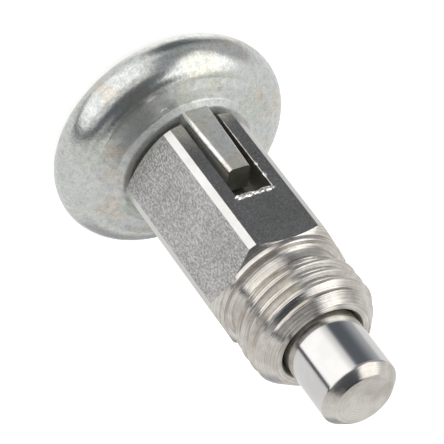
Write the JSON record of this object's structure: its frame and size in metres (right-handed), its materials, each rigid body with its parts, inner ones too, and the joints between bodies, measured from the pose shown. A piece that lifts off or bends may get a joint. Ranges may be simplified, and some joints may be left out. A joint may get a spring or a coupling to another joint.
{
  "type": "indexing plunger",
  "caption": "Compact spring-loaded indexing plunger: hexagon guide body with a fine-threaded nose, a round locking pin and a mushroom pull knob guided by lugs in slots.",
  "frame": {"origin": "centre of the knob's flat top, on which the plunger stands", "axes": "+Z runs along the pin to its free end; +X is square to the two slotted flats of the hexagon"},
  "size_m": [0.0186, 0.0186, 0.0308],
  "materials": {
    "bright_steel": "free-cutting steel, bright turned and milled, faintly warm",
    "polished_steel": "hardened steel, ground and polished",
    "spring_steel": "drawn stainless spring wire",
    "cast_zinc": "zinc die casting, tumbled, mottled blue-grey"
  },
  "bodies": {
    "housing": {"guide_body": "bright_steel", "return_spring": "spring_steel"},
    "plunger": {"locking_pin": "polished_steel", "knob": "cast_zinc"}
  },
  "joints": [
    {"name": "knob_pull", "type": "slide", "parent": "housing", "child": "plunger", "axis": [0, 0, -1], "range_m": [0, 0.0066], "stiffness_N_per_m": 1500, "springref_m": -0.004, "deforming": ["return_spring"]}
  ]
}
